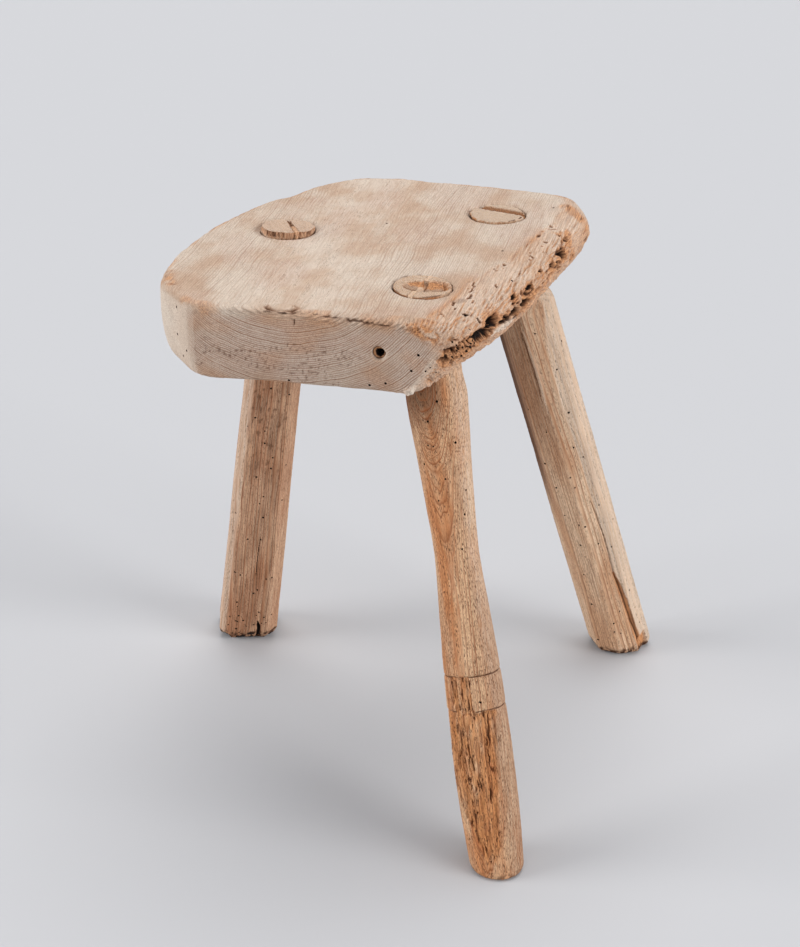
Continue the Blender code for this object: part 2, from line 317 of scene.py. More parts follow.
# Places on the seat, in millimetres.
PITH = (-46.5, 440.0)  # x and z of the middle of the log that the slab was split from
WANEY_BORDER = (  # where the natural edge begins on the top: y and x
    (-125, -100, -70, -39, -1, 46, 86, 132), (36, 45, 52, 57, 73, 84, 92, 100))
WANEY_CRACKS = (  # half width, depth, how it closes at its two ends, and its path
    (3.9, 8.5, (0.5, 0.6),
     ((69, -101, 358), (73, -95, 363), (76.5, -86.7, 364.6), (78, -82, 366.5), (79, -75, 369.5))),
    (1.8, 5.5, (1.2, 0.2),
     ((78, -82, 366), (85.4, -65, 363.3), (88.5, -55, 364.8), (93.6, -37, 366.6), (97, -25, 365))),
    (1.4, 2.5, (0.3, 0.6), ((62, -93, 378), (64.8, -90.4, 376.6), (69, -88, 373), (72.9, -87.9, 370.8))),
    (2.4, 4.0, (0.3, 0.3), ((71, -97, 360), (75, -90, 358), (79, -82, 362))),
)
CRUMBLED = ((59, -114, 355), (66, -105, 358), (72, -96, 359), (78, -84, 357))
TORN_BELT = (
    (88, -60, 364), (95, -30, 369), (100, 4, 371), (105, 30, 371), (108, 56, 371), (105, 76, 375))
PALE_FLAKE = ((83, -72, 357), (90, -54, 358))
SPLINTER = ((34, -120, 332), (45, -123, 331))
ORANGE_SPOT = ((34, -124, 379), (41, -124, 375.5), (48, -121.5, 371))
ROTTEN_SPOT = ((-143, -64, 379), (-139, -76, 379), (-133, -86, 380))
BROWN_SMEAR = ((99, 120, 380), (107, 113, 379), (113, 111, 374))
SMUDGE = ((55, -79, 380), (59, -75, 380))
KNOT = (-51.5, -112.0, 10.5, 5.0)  # x, y and half sizes of a raised knot by the top's front edge
WANEY_HOLES = (  # middle and radius
    ((79, -77, 368.5), 4.4), ((76, -88, 361), 3.2), ((108, 50, 370), 3.2), ((107, 66, 374), 2.4),
    ((101, 66, 379), 1.8), ((110, 66, 362), 2.8), ((98, 4, 373), 2.0), ((95, -20, 371), 2.2),
    ((104, 28, 371), 2.2), ((86, -63, 364), 2.8), ((88, -44, 373), 1.8),
)
FRONT_EDGE_CRACKS = (  # on the front: half width, and path of x and z
    (0.9, ((-62, 378.6), (-52, 378.0), (-43, 378.6), (-38, 379.6))),
    (0.5, ((-41.5, 378), (-42, 371))),
    (1.0, ((-30, 379.4), (-23, 378.4), (-15, 378.2), (-8, 377.2), (1, 377.6), (8, 376.6), (18, 376.4),
           (27, 375.2))),
)
FRONT_WORM_HOLES = (  # x and z
    (40.5, 360), (42, 349), (45.5, 352), (36.5, 348), (17, 336.5), (7, 333), (-46.5, 331), (55, 363))
STRAY_WORM_HOLES = (
    (60, -112, 350), (52, -118, 342), (95, -20, 352), (104, 30, 358), (108, 60, 352), (-124, -104, 372),
    (-126, -104, 352), (-118, -112, 344), (-122, -108, 338), (92, 118, 380), (-20, 60, 380),
    (48, 100, 380), (70, 20, 380), (84, -30, 378))


def past_border(points):
    """How far each point lies to the right of the natural edge's border on the top, in metres."""
    y, x = np.array(WANEY_BORDER) * MM
    return points[:, 0] - np.interp(points[:, 1], y, x)


def close_to(points, path, near, far):
    """1 within near millimetres of a path given in millimetres, and 0 beyond far of it."""
    return fall(near * MM, far * MM, along_path(points, np.array(path, float) * MM)[0])


def near_waney_edge(points):
    """Places on the natural edge, the front and its upper edge, where the seat's grid is finer."""
    x, y, z = points.T
    natural = (past_border(points) > -3 * MM) & (z > UNDERSIDE + 2 * MM)
    natural &= (y > -0.125) & (y < 0.130)
    front = (y < -0.1115) & (z > 0.330)
    by_knot = (np.abs(x - KNOT[0] * MM) < 15 * MM) & (y < -0.102) & (z > 0.374)
    return (natural & ~near_leg(points, BORE_GRID)) | front | by_knot


def make_seat():
    seat = fine_copy("seat", "seat_slab", 1.95 * MM)
    refine(seat, near_waney_edge)
    points = relax(read_points(seat), read_edges(seat), 1)
    write_points(seat, points)
    normals = read_normals(seat)
    edges = read_edges(seat)
    x, y, z = points.T
    bore = on_bore_wall(points, normals)
    sharp = raised(points, edges, normals, 8)
    edge = step(0.15 * MM, 0.9 * MM, sharp) * (1 - bore)
    outline = step(0.06 * MM, 0.45 * MM, sharp) * (1 - bore) * (1 - near_leg(points, BORE_RIM))

    side = relax(step(0.12, 0.45, normals[:, 0]), edges, 6) * step(30 * MM, 46 * MM, x)
    inland = past_border(points) + 2.5 * MM * noise(points, (7, 22), 13)
    shelf = step(-1 * MM, 2.5 * MM, inland) * (normals[:, 2] > 0.3)
    waney = most(side, shelf) * (1 - bore) * step(-0.128, -0.112, y) * fall(0.120, 0.134, y)
    top = step(0.7, 0.95, normals[:, 2])

    move = 0.5 * MM * noise(points, (55, 110, 30), 1) * (1 - bore)
    move -= edge * 1.2 * MM * patches(-0.3, 0.8, points, (26, 40), 2)
    move -= edge * 0.5 * MM * patches(0.0, 0.5, points, (4, 7), 3)

    # the natural edge: long fibres near the top, pits and hollows lower down, and a crumbled corner
    from_pith = np.hypot(x - PITH[0] * MM, z - PITH[1] * MM) + 2.4 * MM * noise(points, (14, 34), 4)
    layer = from_pith / (2.9 * MM)
    terrace = np.abs((layer - np.floor(layer)) * 2 - 1) ** 1.5 - 0.4
    lower = waney * side * fall(0.366, 0.377, z + 2 * MM * noise(points, (12, 25), 8))
    fibre = ridges(points, (2.5, 38), 6) ** 2 - 0.5
    hollow = patches(0.10, 0.6, points, (10, 36, 8), 5)
    fuzz = noise(points, (2.6, 10), 7)
    pits = patches(0.16, 0.44, points, (2.6, 11, 2.4), 14)
    pits *= patches(-0.2, 0.3, points, (9, 22), 20)
    nicks = patches(0.22, 0.45, points, (2.7, 4.5), 46)
    nicks *= patches(0.0, 0.35, points, (9, 20), 47)
    nicks *= shelf * (1 - side) * (y < 95 * MM)
    crumbs = close_to(points, CRUMBLED, 6.5, 11)
    belt = close_to(points, TORN_BELT, 2.5, 8) * patches(-0.35, 0.15, points, (6, 14), 51)
    chunks = patches(-0.12, 0.12, points, (4, 26, 3.6), 27) - 0.5
    teeth = np.abs((from_pith / (2.6 * MM)) % 1 * 2 - 1) - 0.5
    holes = patches(0.02, 0.3, points, (3.4, 4.2), 15)
    broken = 0.3 + 0.7 * patches(-0.2, 0.3, points, (6, 26), 45)
    calm = 1 - 0.55 * step(45 * MM, 75 * MM, y)
    move += waney * calm * (broken * (0.6 + 0.5 * side) * fibre + (0.12 + 0.5 * side) * terrace) * MM
    move += waney * (calm * (0.3 + 0.6 * side) * chunks - 0.35 * shelf) * MM
    move += lower * calm * (0.5 * fuzz - 1.3 * hollow - 1.8 * pits) * MM
    move -= 1.1 * nicks * MM
    move += crumbs * (1.5 * noise(points, (5, 8), 9) - 2.6 * holes - 0.6) * MM
    slits = patches(0.05, 0.3, points, (3.0, 7.5), 52)
    move += belt * (0.9 * noise(points, (4, 9), 53) - 2.2 * slits) * MM
    splinter = close_to(points, SPLINTER, 2.0, 5.0)
    move += splinter * (2.4 + 1.4 * noise(points, (2, 7), 28)) * MM
    orange = close_to(points, ORANGE_SPOT, 2.5, 6.5) * patches(-0.35, 0.1, points, 3, 48)
    move += orange * (0.9 * noise(points, 2.4, 29) - 0.6) * MM
    rotten = close_to(points, ROTTEN_SPOT, 1.0, 5.5) * patches(-0.4, 0.2, points, 4, 43)
    move += rotten * (0.9 * noise(points, 2.6, 30) - 0.7) * MM
    fringe = step(372 * MM, 376 * MM, z) * step(109 * MM, 115 * MM, -y) * (x > -85 * MM)
    move += fringe * (1.1 * teeth + 0.6 * noise(points, (3, 6), 40)) * MM
    oval = np.hypot((x / MM - KNOT[0]) / KNOT[2], (y / MM - KNOT[1]) / KNOT[3])
    on_knot = fall(0.75, 1.0, oval) * step(370 * MM, 376 * MM, z)
    knot_rim = step(0.75, 0.95, oval) * fall(1.0, 1.25, oval) * top
    move += (1.0 * on_knot - 0.9 * knot_rim) * MM

    dirt = most(0.5 * lower * pits, 0.62 * nicks)
    ragged = points + 1.5 * MM * noise(points, (3.6, 7), 10)[:, None] * np.array((0, 0, 1.0))
    uneven = 0.75 + 1.0 * noise(points, (4, 7), 42)
    for half_width, depth, closing, path in WANEY_CRACKS:
        deep = step(0.0, 0.6, crack(ragged, np.array(path) * MM, half_width * MM, closing) * uneven)
        move -= deep * depth * MM
        # painted shade: the crack's inside is drawn dark by its depth
        dirt = most(dirt, step(0.05, 0.4, deep))
    dirt = most(dirt, 0.7 * crumbs * holes, 0.75 * belt * slits)
    halo = np.zeros(len(points))
    for place, radius in WANEY_HOLES:
        away = np.linalg.norm((points - np.array(place) * MM) * (1, 0.6, 1), axis=1)
        away += 2.2 * MM * noise(points, (2.8, 4.5), 11)
        deep = step(radius * MM * 1.1, radius * MM * 0.5, away)
        move -= deep * radius * 1.7 * MM
        # painted shade: each hole's inside is drawn dark by its depth
        dirt = most(dirt, step(0.2, 0.75, deep))
        halo = most(halo, fall(radius * MM, 2.3 * radius * MM, away))
    flat = np.stack((x, z + 0.7 * MM * noise(points, (2.6, 4), 12)), axis=1)
    wide = 0.35 + 0.9 * patches(-0.4, 0.5, points, (5, 9), 39)
    for half_width, path in FRONT_EDGE_CRACKS:
        deep = crack(flat, np.array(path) * MM, half_width * MM, closing=(0.4, 0.4))
        deep *= wide * (y < -113 * MM)
        move -= deep * 1.7 * MM
        # painted shade: each crack along the top's front edge is drawn darker by its depth
        dirt = most(dirt, 0.5 * step(0.05, 0.6, deep))
    dotted = patches(-0.15, 0.25, points, 3.2, 36) * top
    for leg, strength in zip(LEGS.values(), (0.7, 0.25, 0.5)):
        ring = fall(0.4 * MM, 1.5 * MM, np.abs(leg.distance(points) - BORE_EDGE))
        dirt = most(dirt, strength * ring * dotted * (z > 377 * MM))

    gap = 0.35 * patches(0.0, 0.4, points, (12, 12, 30), 16)
    move -= bore * gap * MM
    write_points(seat, points + normals * move[:, None])

    # how deep each point now lies below its surroundings, and the masks
    hidden = -raised(read_points(seat), edges, read_normals(seat), 5)
    seam = np.exp(-((inland - 1.5 * MM) / (4.5 * MM)) ** 2) * (normals[:, 2] > 0.4) * (y > -110 * MM)
    brow = step(371 * MM, 377 * MM, z + 3 * MM * noise(points, (9, 9, 6), 25))
    brow *= step(110 * MM, 113 * MM, -y)
    face = step(0.8, 0.95, -normals[:, 1]) * (1 - bore)
    raw = waney * (0.28 + 0.85 * step(0.05 * MM, 0.4 * MM, hidden) + 0.6 * halo) + crumbs + 0.7 * belt
    raw += 0.45 * seam * patches(-0.3, 0.4, points, (14, 40), 26)
    raw += most(0.45 * brow, 0.6 * outline) * patches(-0.25, 0.4, points, (14, 18), 17)
    raw += 0.3 * lower + 0.7 * orange + 0.7 * rotten + 0.45 * knot_rim
    raw += 0.25 * face * patches(0.0, 0.5, points, (24, 24, 18), 44)
    grey = face * (1 - brow) * patches(-0.5, 0.3, points, (30, 30, 16), 49)
    grey = most(grey, 0.7 * top * patches(0.0, 0.5, points, (26, 60), 50) * (1 - waney))
    smear = close_to(points, BROWN_SMEAR, 4, 10) * patches(-0.4, 0.3, points, (5, 24), 37)
    raw += 0.6 * smear
    pale = waney * (1 - lower) * step(-0.05 * MM, 0.2 * MM, -hidden) * 0.7
    # painted highlight: the facet at the front left, which faces the left lamp, is drawn pale
    facet_highlight = step(0.25, 0.6, -normals[:, 0]) * step(0.1, 0.3, -normals[:, 1]) * (y < -60 * MM)
    flake = most(close_to(points, PALE_FLAKE, 3, 7), splinter)
    pale = most(pale, 0.6 * facet_highlight * (1 - outline), flake)
    raw *= 1 - 0.8 * flake
    specks = patches(0.12, 0.4, points, (1.9, 9), 18)
    specks *= patches(-0.2, 0.3, points, (22, 22, 9), 19)
    dirt = most(dirt, 0.55 * smear * patches(0.1, 0.5, points, (1.4, 12), 38),
                0.6 * rotten * patches(0.1, 0.4, points, 2, 41),
                0.28 * close_to(points, SMUDGE, 1.5, 5),
                knot_rim * (0.3 + 0.3 * fall(-115 * MM, -110 * MM, y)),
                # the next two are painted shade: places sunk below their surroundings on the natural edge
                # and in the crumbled corner are drawn dark
                waney * side * step(0.5 * MM, 1.0 * MM, hidden) * 0.85,
                0.8 * crumbs * step(0.45 * MM, 1.0 * MM, hidden),
                0.42 * specks * face * fall(-8 * MM, 12 * MM, x) * (z < 0.358))
    stain = 0.36 * face * (1 - brow)
    keep_masks(seat, points, {"dirt": dirt, "raw": raw, "pale": pale, "stain": stain, "grey": grey})

    front = [(x * MM, -117.6 * MM, z * MM) for x, z in FRONT_WORM_HOLES]
    cluster = np.array((67, -103, 359)) + DICE.normal(size=(44, 3)) * (5, 8, 5)
    places = front + list(np.vstack((cluster, STRAY_WORM_HOLES)) * MM)
    bore_worm_holes(seat, places, DICE.uniform(0.7, 1.05, len(places)) * MM)
    return seat


# ---- the legs

class Leg:
    """A leg's own directions: along is up its axis from the foot, and angle -90 faces the front."""

    def __init__(self, node, mount):
        corners = np.array([vertex.co for vertex in frame["nodes"][node].data.vertices])
        tip = corners[corners[:, 2] > SEAT_TOP - 4 * MM]
        self.foot = np.array(mount)
        self.top = (tip.min(axis=0) + tip.max(axis=0)) / 2
        self.top[2] = SEAT_TOP
        up = self.top - self.foot
        self.length = np.linalg.norm(up)
        self.up = up / self.length
        right = np.cross((0.0, 1.0, 0.0), self.up)
        self.right = right / np.linalg.norm(right)
        self.back = np.cross(self.up, self.right)

    def local(self, points):
        """Across to the right, across to the back, and along the axis."""
        offset = points - self.foot
        return np.stack((offset @ self.right, offset @ self.back, offset @ self.up), axis=1)

    def distance(self, points):
        return np.hypot(*self.local(points)[:, :2].T)

    def place(self, along, angle, radius):
        """A point in the frame, from millimetres up the leg and degrees round it."""
        turn = radians(angle)
        out = radius * (cos(turn) * self.right + sin(turn) * self.back)
        return self.foot + along * MM * self.up + out


def mount_point(name):
    return next(mount["pos_m"] for mount in frame["record"]["mounts"] if mount["name"] == name)


LEGS = {"leg_" + side: Leg("leg_" + side, mount_point("foot_" + side))
        for side in ("front", "rear_left", "rear_right")}
LEG_GRID = 1.15 * MM
FOOT_RADIUS = 20 * MM  # a foot's surface nearer its axis than this is worn in proportion
SWERVE_FROM = 280 * MM  # up a leg's axis


def shaft(node, chosen, soft):
    """A leg, its fine copy rounded where it meets the seat, and the copy's points, normals and edges."""
    leg = LEGS[node]
    piece = fine_copy(node, node + "_wood", LEG_GRID)
    refine(piece, lambda points: points[:, 2] > SEAT_TOP - 9 * MM)
    refine(piece, lambda points: chosen(*leg_spots(leg, points)) & (points[:, 2] < UNDERSIDE))
    edges = read_edges(piece)
    points = relax(read_points(piece), edges, 1)
    below = UNDERSIDE - points[:, 2]
    shoulder = step(0.5 * MM, 3 * MM, below) * fall(24 * MM, 34 * MM, below)
    points += shoulder[:, None] * (relax(points, edges, soft) - points)
    points[:, 2] = np.where(points[:, 2] < 0.7 * MM, 0.0, points[:, 2])
    write_points(piece, points)
    return leg, piece, points, read_normals(piece), edges


def leg_spots(leg, points):
    """Millimetres up the leg, and degrees round it."""
    across, back, along = leg.local(points).T
    return along / MM, np.degrees(np.arctan2(back, across))


def unrolled(along, angle, radius=22.0):
    """The leg's surface rolled out flat, in millimetres."""
    return np.stack((np.radians(angle) * radius, along), axis=1)


def leg_crack(spots, path, half_width, closing=(0.2, 0.2)):
    """A crack along a leg, through places given as millimetres up it and degrees round it."""
    turned = unrolled(*np.array(path, float).T)
    return crack(spots, turned, half_width, closing)


def weathered(points, normals, grain, edges, fibre):
    """How far dry grain and worn edges move a leg's surface, in metres."""
    edge = step(0.08 * MM, 0.5 * MM, raised(points, edges, normals, 8))
    move = 0.45 * MM * noise(grain, (24, 90), 21)
    move += fibre * MM * (ridges(grain, (2.0, 46), 22) ** 2 - 0.5)
    move += 0.25 * fibre * MM * noise(grain, (1.2, 16), 23)
    move -= edge * 0.8 * MM * patches(-0.3, 0.8, grain, (10, 24), 24)
    return move


def finish_leg(piece, leg, points, normals, move, worn, rim_dirt_and_shadow, masks, holes, swerve=0.0):
    """Move the surface, wear the foot round, keep the tenon in its bore, and store the masks.

    The foot's rim is worn away by worn, over half as much again in height, and darkened by
    rim_dirt_and_shadow, partly floor dirt and partly painted contact shadow, up to a height that grows
    with it. The grain leans back by swerve above SWERVE_FROM.
    """
    z = points[:, 2]
    in_seat = step(UNDERSIDE - 7 * MM, UNDERSIDE, z)
    in_seat *= fall(SEAT_TOP - 0.9 * MM, SEAT_TOP, z)
    move = np.where(z < 0.5 * MM, 0.0, move) * (1 - in_seat) - 0.1 * MM * in_seat
    moved = points + normals * move[:, None]
    rise = np.clip(1 - z / (1.5 * worn), 0, 1)
    inset = worn * (1 - np.sqrt(1 - rise ** 2))
    axis = leg.foot + np.outer((z - leg.foot[2]) / leg.up[2], leg.up)
    radius = np.linalg.norm((points - axis)[:, :2], axis=1)
    shrink = 1 - inset / np.maximum(radius, FOOT_RADIUS)
    moved[:, :2] = axis[:, :2] + (moved - axis)[:, :2] * shrink[:, None]
    moved[:, 2] = np.maximum(moved[:, 2], 0.0)
    write_points(piece, moved)
    local = leg.local(points)
    local[:, 1] -= swerve * np.maximum(local[:, 2] - SWERVE_FROM, 0)
    height = z + 3 * MM * noise(points, 5, 72)
    # the bottom of the foot is drawn dark: partly floor dirt, partly painted contact shadow
    foot_dirt_and_shadow = fall((6 * rim_dirt_and_shadow - 1.5) * MM, (10 * rim_dirt_and_shadow + 3) * MM, height)
    foot_dirt_and_shadow *= patches(-0.35, 0.2, points, 3.2, 35)
    masks["dirt"] = most(masks["dirt"], rim_dirt_and_shadow * foot_dirt_and_shadow)
    keep_masks(piece, local[:, (0, 2, 1)], masks)
    bore_worm_holes(piece, holes, DICE.uniform(0.62, 0.98, len(holes)) * MM)
    return piece


def tenon_end_masks(points, normals):
    """The end that shows in the seat, and the wall of what stands proud of it, from 0 to 1."""
    z = points[:, 2]
    end = step(SEAT_TOP - 2.5 * MM, SEAT_TOP - 0.8 * MM, z) * step(0.5, 0.8, normals[:, 2])
    wall = step(SEAT_TOP - 1.0 * MM, SEAT_TOP, z) * fall(0.4, 0.7, normals[:, 2])
    return end, wall


def leg_holes(leg, spots, strays, radius):
    """Worm holes at given millimetres and degrees, and strays anywhere on the leg."""
    spread = [(DICE.uniform(15, 300), DICE.uniform(-20, 250)) for _ in range(strays)]
    return [leg.place(along, angle, radius) for along, angle in list(spots) + spread]


REAR_LEFT_HOLES = (
    (267, -79), (262, -43), (239, -102), (227, -82), (215, -80), (201, -60), (191, -67), (193, -35),
    (181, -90), (161, -71), (155, -79), (140, -66), (158, -38), (117, -69), (117, -96), (139, -121),
    (80, -111), (79, -103), (78, -39), (76, -49), (64, -67), (60, -72), (48, -106), (49, -98),
    (43, -101), (30, -110), (32, -94), (39, -57), (34, -62), (32, -46), (34, -34), (22, -80), (18, -100),
    (27, -104), (26, -97), (28, -87), (24, -65), (26, -50), (27, -41), (20, -112), (13, -108), (14, -92))
REAR_LEFT_MARKS = (  # cuts in the tenon's end, in millimetres from its middle
    ((-3, 9, 1), (0, 4, 1), (3, 0, 1.5)), ((12, 8, 1), (15, 4, 1)))


def make_rear_left_leg():
    leg, piece, points, normals, edges = shaft(
        "leg_rear_left", lambda along, angle: (along < 30) & (np.abs(angle + 80) < 70)
        | (np.abs(along - 96) < 24) & (np.abs(angle + 70) < 8), 2)
    along, angle = leg_spots(leg, points)
    grain = leg.local(points)[:, (0, 2, 1)]
    move = weathered(points, normals, grain, edges, 0.34)
    spots = unrolled(along, angle) + 0.35 * noise(grain, (3, 6), 31)[:, None]
    hair = leg_crack(spots, ((118, -70), (92, -71), (76, -70)), 0.55)
    foot = leg_crack(spots, ((28, -58), (20, -55), (5, -54)), 1.9, closing=(0.3, 1.0))
    chips = patches(0.0, 0.5, grain, (6, 9), 32) * fall(5, 16, along)
    move -= (0.9 * hair + 3.2 * foot + 1.6 * chips) * MM
    end, wall = tenon_end_masks(points, normals)
    flutes = ridges(points, (3.2, 3.2, 40), 33)
    move -= wall * 1.1 * (1 - flutes) * 2 * MM
    marks = most(*(crack(points, leg.top + np.array(path) * MM, 0.8 * MM) for path in REAR_LEFT_MARKS))
    marks *= end
    move -= marks * 1.2 * MM
    # painted highlights: the leg's left and right sides, which face the side lamps, are drawn pale, and
    # the right side a little orange too
    left = fall(-121, -115, angle - 6 * step(60, 250, along))
    right = step(-45, -39, angle)
    middle = (1 - left) * (1 - right) * (1 - end) * (1 - wall)
    damp = fall(6, 30, along) * patches(-0.5, 0.5, grain, (9, 14), 34)
    streaks = patches(-0.1, 0.4, grain, (5, 34), 67) * middle
    blots = patches(0.0, 0.35, grain, (8, 26), 69) * middle * step(90, 200, along)
    specks = patches(0.25, 0.5, grain, (1.9, 5), 70) * middle * step(110, 230, along)
    masks = {
        "dirt": most(step(0.2, 0.8, hair), step(0.2, 0.6, foot), 0.55 * chips, step(0.1, 0.6, marks),
                     0.4 * specks, 0.4 * wall * step(0.3, 0.5, 1 - flutes)),
        "raw": most(0.15 * right * (1 - end), 0.45 * wall),
        "pale": most(0.8 * left * (1 - wall), 0.35 * right, end, 0.7 * wall),
        "stain": most(0.6 * damp, 0.5 * streaks),
        "grey": most(0.75 * blots, 0.1 * end),
    }
    return finish_leg(piece, leg, points, normals, move, 7.0 * MM, 0.9, masks,
                      leg_holes(leg, REAR_LEFT_HOLES, 14, 24 * MM))


REAR_RIGHT_HOLES = (
    (307, -69), (290, -14), (272, -48), (234, -47), (226, -23), (223, -102), (204, -59), (193, -44),
    (243, -124), (194, -123), (180, -81), (170, -78), (144, -116), (135, -92), (133, -81), (116, -101),
    (113, -65), (106, -39), (146, -39), (124, -9), (86, -113), (58, -26), (45, -60), (39, -23),
    (37, -81), (29, -83), (24, -71), (35, -138), (21, -123), (24, -22))


def make_rear_right_leg():
    leg, piece, points, normals, edges = shaft(
        "leg_rear_right", lambda along, angle: (along < 165) & (np.abs(angle + 50) < 16)
        | (along > 240) & (np.abs(angle + 91) < 9), 2)
    along, angle = leg_spots(leg, points)
    grain = leg.local(points)[:, (0, 2, 1)]
    move = weathered(points, normals, grain, edges, 0.30)
    spots = unrolled(along, angle) + 0.35 * noise(grain, (3, 8), 41)[:, None]
    lip = leg_crack(spots, ((316, -96), (289, -91), (266, -90), (249, -92)), 0.9)
    crest = leg_crack(spots, ((316, -90), (289, -86), (266, -85), (240, -87)), 1.8)
    upper = leg_crack(spots, ((160, -56), (118, -49), (82, -51)), 0.9, closing=(0.1, 1.0))
    lower = leg_crack(spots, ((82, -51), (59, -46), (29, -43), (2, -38)), 2.4, closing=(0.35, 1.2))
    notch = fall(9, 15, along) * step(-44, -38, angle) * fall(-16, -8, angle)
    chips = patches(0.1, 0.6, grain, (6, 9), 42) * fall(4, 12, along)
    move += (0.5 * crest - 1.2 * lip - 1.1 * upper - 2.4 * lower - 3.4 * notch - 1.1 * chips) * MM
    end, _ = tenon_end_masks(points, normals)
    border = np.interp(along, (160, 244, 291, 328), (-50, -57, -53, -39))
    # painted highlight: the right side of the leg, which faces the right lamp, is drawn pale
    right = step(-3, 3, angle - (border + 3 * noise(grain, (8, 30), 43)))
    left = fall(-100, -92, angle)
    z = points[:, 2]
    distance = leg.distance(points)
    rim = end * step(17.6 * MM, 18.6 * MM, distance)
    dotted = patches(-0.2, 0.2, points, 4, 68)
    slot = (z > SEAT_TOP - 5 * MM) & (distance < 18.4 * MM) & (normals[:, 2] < 0.7)
    slot = relax(slot.astype(float), edges, 3)
    beyond = (points - leg.top)[:, 1] + 0.29 * (points - leg.top)[:, 0] - 8.6 * MM
    broken = beyond + 0.8 * MM * noise(points, 5, 44)
    ledge = step(-1 * MM, 0, beyond) * fall(2.2 * MM, 3.2 * MM, broken)
    ledge *= step(SEAT_TOP - 3 * MM, SEAT_TOP - 1 * MM, z) * (distance < 19 * MM)
    move -= 1.3 * ledge * MM
    far_left = fall(-154, -140, angle) * step(110, 200, along) * (1 - end)
    bare = fall(20, 70, along) * step(-72, -60, angle) * fall(-48, -40, angle)
    stain = 0.6 * left * step(150, 260, along) + 0.4 * (1 - left) * (1 - right) * step(150, 240, along)
    stain += 0.6 * fall(-134, -126, angle) * step(120, 200, along)
    masks = {
        "dirt": most(0.5 * step(0.3, 0.9, lip), 0.4 * step(0.3, 0.9, upper), 0.6 * step(0.55, 1.0, lower),
                     0.5 * chips, 0.5 * far_left, 0.6 * rim * dotted, 0.35 * ledge),
        "raw": most(notch, step(0.0, 0.2, lower), ledge, np.clip(2 * slot, 0, 1), 0.45 * bare),
        "pale": most(right * (1 - notch), 0.9 * crest, end),
        "stain": stain * (1 - end) * fall(0.1, 0.5, crest),
        "grey": most(0.4 * end, 0.5 * right * patches(-0.4, 0.4, grain, (9, 40), 71)),
    }
    return finish_leg(piece, leg, points, normals, move, 5.5 * MM, 0.7, masks,
                      leg_holes(leg, REAR_RIGHT_HOLES, 14, 22 * MM))


FRONT_HOLES = (
    (327, -73), (313, -98), (298, -108), (297, -95), (298, -48), (285, -126), (260, -103), (264, -33),
    (249, -44), (226, -61), (122, -68), (275, -80))
SCORED_LINES = (139.5, 115.5)  # millimetres up the front leg
ERODED_LEFT = (  # the eroded foot's left border: millimetres up the leg, and degrees round it
    (0, 21, 32, 50, 65, 87, 113), (-92, -105, -115, -140, -160, -172, -176))
ERODED_RIGHT = (  # and its right border
    (0, 9, 20, 53, 97, 113), (-84, -76, -64, -54, -44, -37))
ERODED_TOP = 114.8  # where it ends, but for a torn band on the left that goes on to BAND_TOP
BAND_TOP = 139.8


